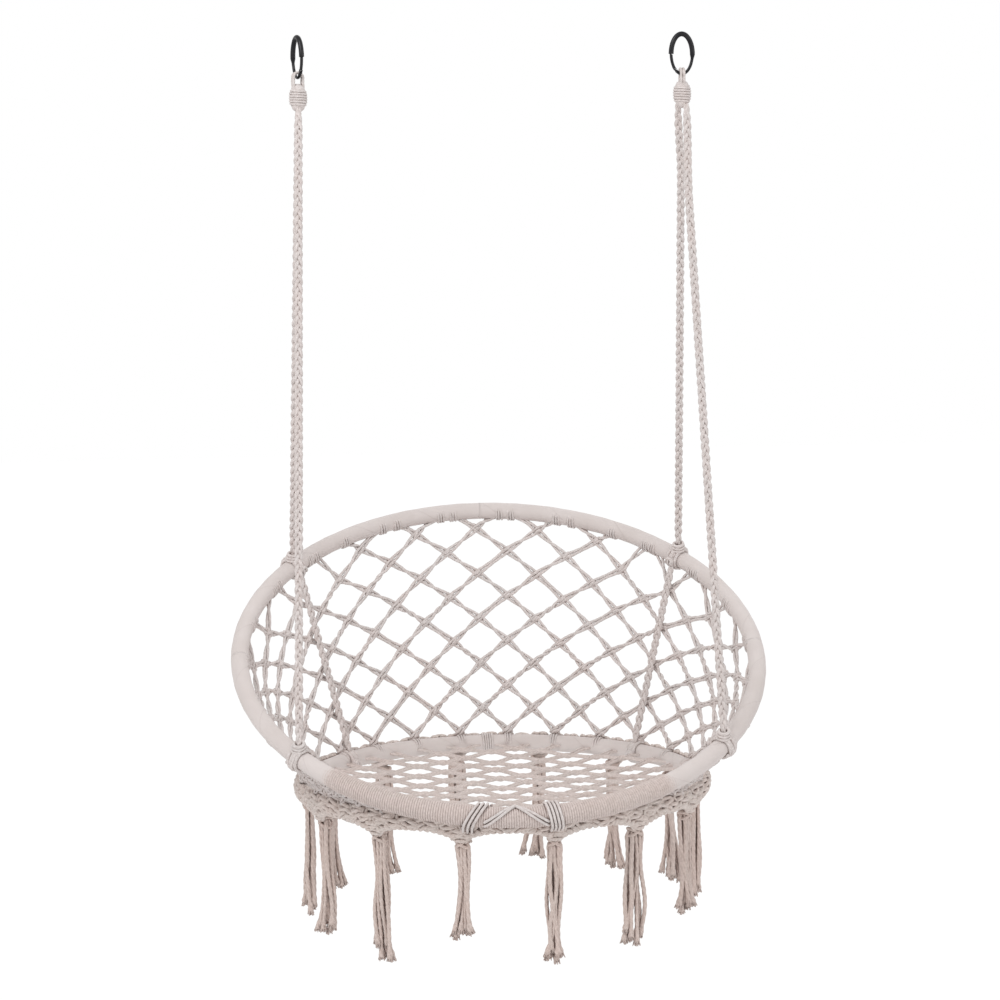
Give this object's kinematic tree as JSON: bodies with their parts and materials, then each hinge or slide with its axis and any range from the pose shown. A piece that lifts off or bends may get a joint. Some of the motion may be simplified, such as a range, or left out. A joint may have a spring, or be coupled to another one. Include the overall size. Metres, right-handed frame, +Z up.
{
  "type": "hanging hammock chair",
  "caption": "Hanging hammock chair: tilted padded hoop and level seat hoop joined by knotted cotton nets, hung by braided ropes from two snap links, with a tasselled fringe.",
  "frame": {"origin": "middle of the hang line, midway between the two places where the ceiling hooks bear in the tops of the snap links", "axes": "+Z up, +X to the sitter's left-hand side as seen from the front (image right), -Y towards the front of the chair"},
  "size_m": [0.8, 0.7193, 1.3186],
  "materials": {
    "hoop_steel": "satin",
    "cotton_wrap": "matte",
    "net_cord": "matte",
    "rope_cord": "matte",
    "fringe_cord": "matte",
    "black_steel": "satin",
    "pin_steel": "satin"
  },
  "bodies": {
    "snap_links": {"left_snap_link": "black_steel", "left_gate_pin": "pin_steel", "right_snap_link": "black_steel", "right_gate_pin": "pin_steel"},
    "left_gate_arm": {"left_gate": "black_steel", "left_gate_spring": "pin_steel"},
    "right_gate_arm": {"right_gate": "black_steel", "right_gate_spring": "pin_steel"},
    "left_eye": {"left_rope_eye": "rope_cord", "left_eye_collar": "rope_cord"},
    "right_eye": {"right_rope_eye": "rope_cord", "right_eye_collar": "rope_cord"},
    "left_ropes": {"left_front_rope": "rope_cord", "left_back_rope": "rope_cord"},
    "seat": {"back_net": "net_cord", "fringe_band": "fringe_cord", "left_front_tie": "net_cord", "right_front_tie": "net_cord", "front_winding": "cotton_wrap", "large_hoop_steel_tube": "hoop_steel", "large_hoop_wrap_1": "cotton_wrap", "large_hoop_wrap_2": "cotton_wrap", "large_hoop_wrap_3": "cotton_wrap", "large_hoop_wrap_4": "cotton_wrap", "left_back_hitch": "rope_cord", "left_back_rope_tail": "rope_cord", "left_back_seat_knot": "rope_cord", "left_front_hitch": "rope_cord", "left_front_rope_tail": "rope_cord", "left_front_seat_knot": "rope_cord", "right_back_hitch": "rope_cord", "right_back_rope_tail": "rope_cord", "right_back_seat_knot": "rope_cord", "right_front_hitch": "rope_cord", "right_front_rope_tail": "rope_cord", "right_front_seat_knot": "rope_cord", "seat_hoop_steel_tube": "hoop_steel", "seat_hoop_wrap_1": "cotton_wrap", "seat_hoop_wrap_2": "cotton_wrap", "seat_hoop_wrap_3": "cotton_wrap", "seat_hoop_wrap_4": "cotton_wrap", "seat_net": "net_cord", "tassel_01": "fringe_cord", "tassel_02": "fringe_cord", "tassel_03": "fringe_cord", "tassel_04": "fringe_cord", "tassel_05": "fringe_cord", "tassel_06": "fringe_cord", "tassel_07": "fringe_cord", "tassel_08": "fringe_cord", "tassel_09": "fringe_cord", "tassel_10": "fringe_cord", "tassel_11": "fringe_cord", "tassel_12": "fringe_cord", "tassel_13": "fringe_cord", "tassel_14": "fringe_cord"},
    "right_ropes": {"right_front_rope": "rope_cord", "right_back_rope": "rope_cord"}
  },
  "joints": [
    {"name": "left_gate_hinge", "type": "hinge", "parent": "snap_links", "child": "left_gate_arm", "pos_m": [-0.27796, -0.00951, -0.04714], "axis": [-0.9205, -0.3907, 0], "range_deg": [0, 25], "stiffness_Nm_per_rad": 0.02, "springref_deg": -20.05},
    {"name": "right_gate_hinge", "type": "hinge", "parent": "snap_links", "child": "right_gate_arm", "pos_m": [0.27167, 0, -0.04714], "axis": [0, 1, 0], "range_deg": [0, 25], "stiffness_Nm_per_rad": 0.02, "springref_deg": -20.05},
    {"name": "left_swing", "type": "hinge", "parent": "snap_links", "child": "left_eye", "pos_m": [-0.282, 0, -0.05175], "axis": [1, 0, 0], "range_deg": [-18, 18]},
    {"name": "right_swing", "type": "hinge", "parent": "snap_links", "child": "right_eye", "pos_m": [0.282, 0, -0.05175], "axis": [1, 0, 0], "range_deg": [-18, 18]},
    {"name": "left_sway", "type": "hinge", "parent": "left_eye", "child": "left_ropes", "pos_m": [-0.282, 0, -0.10335], "axis": [0, 0.891, 0.454], "range_deg": [-12, 12]},
    {"name": "seat_level", "type": "hinge", "parent": "left_ropes", "child": "seat", "pos_m": [-0.30329, -0.21568, -0.99292], "axis": [0, 0.891, 0.454], "range_deg": [-11.2, 11.2]},
    {"name": "right_sway", "type": "hinge", "parent": "seat", "child": "right_ropes", "pos_m": [0.30329, -0.21568, -0.99292], "axis": [0, 0.891, 0.454], "range_deg": [-11.2, 11.2]}
  ],
  "couplings": [
    {"joint": "right_swing", "follows": "left_swing", "ratio": 1},
    {"joint": "seat_level", "follows": "left_sway", "ratio": -0.9304},
    {"joint": "right_sway", "follows": "left_sway", "ratio": 0.9304}
  ]
}
